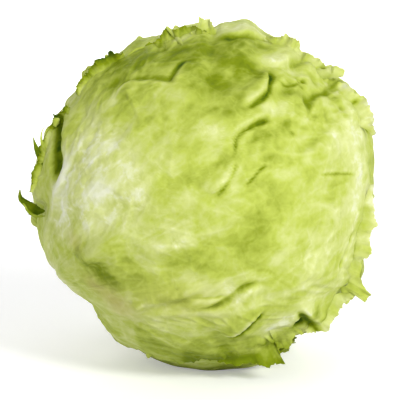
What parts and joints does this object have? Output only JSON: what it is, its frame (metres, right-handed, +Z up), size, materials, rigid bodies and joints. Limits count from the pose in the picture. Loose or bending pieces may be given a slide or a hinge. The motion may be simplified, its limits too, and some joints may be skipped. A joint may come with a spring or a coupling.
{
  "type": "iceberg lettuce",
  "caption": "Round head of iceberg lettuce lying on its side, with pale ribbed outer leaves wrapped over a packed heart and a cut stem.",
  "frame": {"origin": "on the flat spot that the head rests on, straight below its centre", "axes": "+Z up; the cut stem points towards -X, a little backwards and down; -Y is the side that the picture shows"},
  "size_m": [0.1674, 0.1634, 0.164],
  "materials": {
    "outer_leaf": "waxy leaf, mottled yellow-green with pale ribs",
    "inner_leaf": "waxy leaf, paler and yellower than the outer ones",
    "heart": "packed pale leaves",
    "stem": "freshly cut, slightly browned pith"
  },
  "bodies": {
    "root": {"leaf_front": "outer_leaf", "leaf_under": "outer_leaf", "leaf_back": "outer_leaf", "leaf_top": "inner_leaf", "leaf_side": "inner_leaf", "leaf_crown": "inner_leaf", "heart": "heart", "stem": "stem"}
  },
  "joints": []
}
